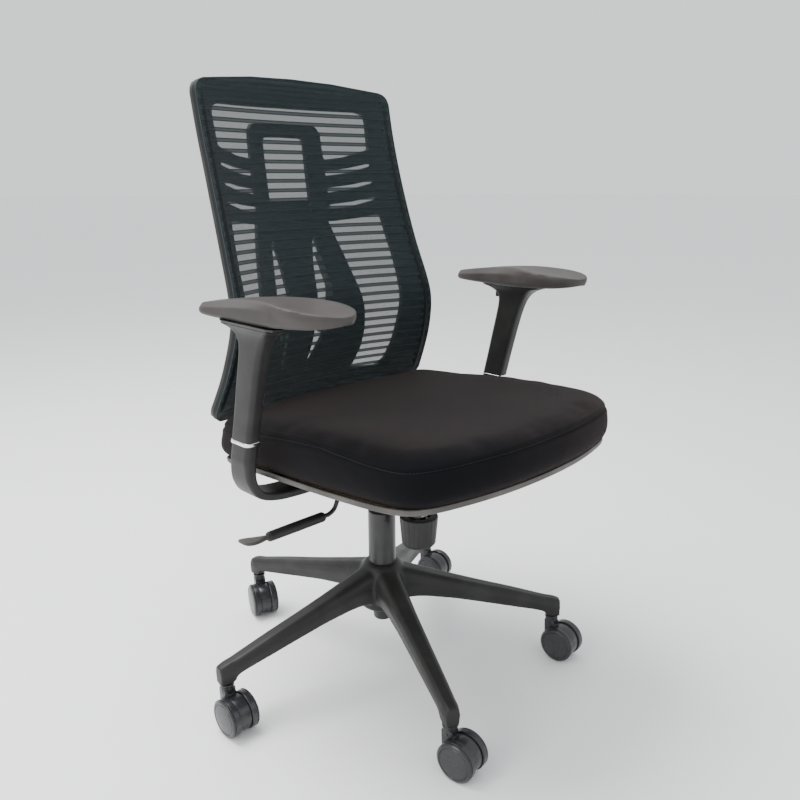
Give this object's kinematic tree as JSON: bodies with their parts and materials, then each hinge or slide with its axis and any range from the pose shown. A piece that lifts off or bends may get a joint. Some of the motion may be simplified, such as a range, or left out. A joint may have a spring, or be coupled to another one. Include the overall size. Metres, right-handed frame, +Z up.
{
  "type": "swivel office chair",
  "caption": "Swivel office chair: rolling star base, gas lift, tilting padded seat, height-adjustable armrests and a curved netting back on a ribbed frame.",
  "frame": {"origin": "on the floor, below the middle of the bounding box; the swivel column stands at x 0.015, y 0.018", "axes": "+Z up, the sitter faces -Y, +X is the sitter's left"},
  "size_m": [0.6605, 0.6937, 1.042],
  "materials": {
    "black_plastic": "fine grain moulded nylon, satin",
    "grey_plastic": "moulded, dull",
    "caster_nylon": "polished moulding",
    "painted_steel": "satin black powder coat",
    "steel": "bright zinc",
    "chrome": "bright trim ring",
    "plywood": "bare",
    "seat_fabric": "woven cloth over foam",
    "back_netting": "striped stretch netting",
    "soft_pad": "self-skinning foam, satin"
  },
  "bodies": {
    "base": {"star_base": "black_plastic", "lift_tube": "painted_steel", "lift_bushing": "caster_nylon", "caster_1_stem": "steel", "caster_2_stem": "steel", "caster_3_stem": "steel", "caster_4_stem": "steel", "caster_5_stem": "steel"},
    "column_rod": {"lift_rod": "steel"},
    "column": {"lift_cylinder": "painted_steel", "mech_housing": "painted_steel", "tilt_axle": "steel", "tension_spring": "steel"},
    "valve_button": {"lift_button": "steel"},
    "lever": {"lever_rod": "painted_steel", "lever_sleeve": "black_plastic", "lever_paddle": "grey_plastic"},
    "upper": {"seat_plate": "painted_steel", "tension_bolt": "steel", "seat_pan": "grey_plastic", "seat_board": "plywood", "seat_cushion": "seat_fabric", "arm_bracket_right": "black_plastic", "arm_ring_right": "chrome", "arm_bracket_left": "black_plastic", "arm_ring_left": "chrome", "back_mesh": "back_netting", "back_rim": "black_plastic", "back_frame": "black_plastic", "back_spine": "black_plastic", "back_bar": "black_plastic"},
    "knob": {"tension_knob": "black_plastic"},
    "arm_right": {"arm_sleeve_right": "black_plastic", "arm_plate_right": "black_plastic", "arm_pad_right": "soft_pad"},
    "trigger_right": {"arm_trigger_right": "black_plastic"},
    "arm_left": {"arm_sleeve_left": "black_plastic", "arm_plate_left": "black_plastic", "arm_pad_left": "soft_pad"},
    "trigger_left": {"arm_trigger_left": "black_plastic"},
    "caster_1": {"caster_1_hood": "caster_nylon", "caster_1_axle": "steel"},
    "wheel_1_a": {"caster_1_wheel_a": "caster_nylon"},
    "wheel_1_b": {"caster_1_wheel_b": "caster_nylon"},
    "caster_2": {"caster_2_hood": "caster_nylon", "caster_2_axle": "steel"},
    "wheel_2_a": {"caster_2_wheel_a": "caster_nylon"},
    "wheel_2_b": {"caster_2_wheel_b": "caster_nylon"},
    "caster_3": {"caster_3_hood": "caster_nylon", "caster_3_axle": "steel"},
    "wheel_3_a": {"caster_3_wheel_a": "caster_nylon"},
    "wheel_3_b": {"caster_3_wheel_b": "caster_nylon"},
    "caster_4": {"caster_4_hood": "caster_nylon", "caster_4_axle": "steel"},
    "wheel_4_a": {"caster_4_wheel_a": "caster_nylon"},
    "wheel_4_b": {"caster_4_wheel_b": "caster_nylon"},
    "caster_5": {"caster_5_hood": "caster_nylon", "caster_5_axle": "steel"},
    "wheel_5_a": {"caster_5_wheel_a": "caster_nylon"},
    "wheel_5_b": {"caster_5_wheel_b": "caster_nylon"}
  },
  "joints": [
    {"name": "seat_swivel", "type": "hinge", "parent": "base", "child": "column_rod", "pos_m": [0.015, 0.018, 0.09], "axis": [0, 0, 1], "continuous": true},
    {"name": "seat_height", "type": "slide", "parent": "column_rod", "child": "column", "axis": [0, 0, 1], "range_m": [0, 0.08]},
    {"name": "valve_press", "type": "slide", "parent": "column", "child": "valve_button", "axis": [0, 0, -1], "range_m": [0, 0.004]},
    {"name": "lever_lift", "type": "hinge", "parent": "column", "child": "lever", "pos_m": [-0.041, 0.018, 0.364], "axis": [0, 1, 0], "range_deg": [0, 4]},
    {"name": "seat_tilt", "type": "hinge", "parent": "column", "child": "upper", "pos_m": [0.015, -0.022, 0.376], "axis": [-1, 0, 0], "range_deg": [0, 12], "deforming": ["tension_spring"]},
    {"name": "tension_turn", "type": "hinge", "parent": "upper", "child": "knob", "pos_m": [0.015, -0.076, 0.29], "axis": [0, 0, 1], "continuous": true},
    {"name": "arm_height_right", "type": "slide", "parent": "upper", "child": "arm_right", "axis": [0, -0.2425, 0.9701], "range_m": [0, 0.07]},
    {"name": "arm_trigger_right", "type": "slide", "parent": "arm_right", "child": "trigger_right", "axis": [0, -1, 0], "range_m": [0, 0.005], "stiffness_N_per_m": 300},
    {"name": "arm_height_left", "type": "slide", "parent": "upper", "child": "arm_left", "axis": [0, -0.2425, 0.9701], "range_m": [0, 0.07]},
    {"name": "arm_trigger_left", "type": "slide", "parent": "arm_left", "child": "trigger_left", "axis": [0, -1, 0], "range_m": [0, 0.005], "stiffness_N_per_m": 300},
    {"name": "caster_1_swivel", "type": "hinge", "parent": "base", "child": "caster_1", "pos_m": [-0.0477, 0.3318, 0.074], "axis": [0, 0, 1], "continuous": true},
    {"name": "wheel_1_a_spin", "type": "hinge", "parent": "caster_1", "child": "wheel_1_a", "pos_m": [-0.05591, 0.30924, 0.032], "axis": [0.9397, -0.342, 0], "continuous": true},
    {"name": "wheel_1_b_spin", "type": "hinge", "parent": "caster_1", "child": "wheel_1_b", "pos_m": [-0.05591, 0.30924, 0.032], "axis": [0.9397, -0.342, 0], "continuous": true},
    {"name": "caster_2_swivel", "type": "hinge", "parent": "base", "child": "caster_2", "pos_m": [-0.30281, 0.05533, 0.074], "axis": [0, 0, 1], "continuous": true},
    {"name": "wheel_2_a_spin", "type": "hinge", "parent": "caster_2", "child": "wheel_2_a", "pos_m": [-0.30281, 0.03133, 0.032], "axis": [1, 0, 0], "continuous": true},
    {"name": "wheel_2_b_spin", "type": "hinge", "parent": "caster_2", "child": "wheel_2_b", "pos_m": [-0.30281, 0.03133, 0.032], "axis": [1, 0, 0], "continuous": true},
    {"name": "caster_3_swivel", "type": "hinge", "parent": "base", "child": "caster_3", "pos_m": [-0.11872, -0.27272, 0.074], "axis": [0, 0, 1], "continuous": true},
    {"name": "wheel_3_a_spin", "type": "hinge", "parent": "caster_3", "child": "wheel_3_a", "pos_m": [-0.11538, -0.29649, 0.032], "axis": [0.9903, 0.1392, 0], "continuous": true},
    {"name": "wheel_3_b_spin", "type": "hinge", "parent": "caster_3", "child": "wheel_3_b", "pos_m": [-0.11538, -0.29649, 0.032], "axis": [0.9903, 0.1392, 0], "continuous": true},
    {"name": "caster_4_swivel", "type": "hinge", "parent": "base", "child": "caster_4", "pos_m": [0.25017, -0.19901, 0.074], "axis": [0, 0, 1], "continuous": true},
    {"name": "wheel_4_a_spin", "type": "hinge", "parent": "caster_4", "child": "wheel_4_a", "pos_m": [0.25226, -0.22292, 0.032], "axis": [0.9962, 0.0872, 0], "continuous": true},
    {"name": "wheel_4_b_spin", "type": "hinge", "parent": "caster_4", "child": "wheel_4_b", "pos_m": [0.25226, -0.22292, 0.032], "axis": [0.9962, 0.0872, 0], "continuous": true},
    {"name": "caster_5_swivel", "type": "hinge", "parent": "base", "child": "caster_5", "pos_m": [0.29406, 0.1746, 0.074], "axis": [0, 0, 1], "continuous": true},
    {"name": "wheel_5_a_spin", "type": "hinge", "parent": "caster_5", "child": "wheel_5_a", "pos_m": [0.29905, 0.15113, 0.032], "axis": [0.9781, 0.2079, 0], "continuous": true},
    {"name": "wheel_5_b_spin", "type": "hinge", "parent": "caster_5", "child": "wheel_5_b", "pos_m": [0.29905, 0.15113, 0.032], "axis": [0.9781, 0.2079, 0], "continuous": true}
  ],
  "couplings": [
    {"joint": "valve_press", "follows": "lever_lift", "m_per_rad": 0.056}
  ]
}
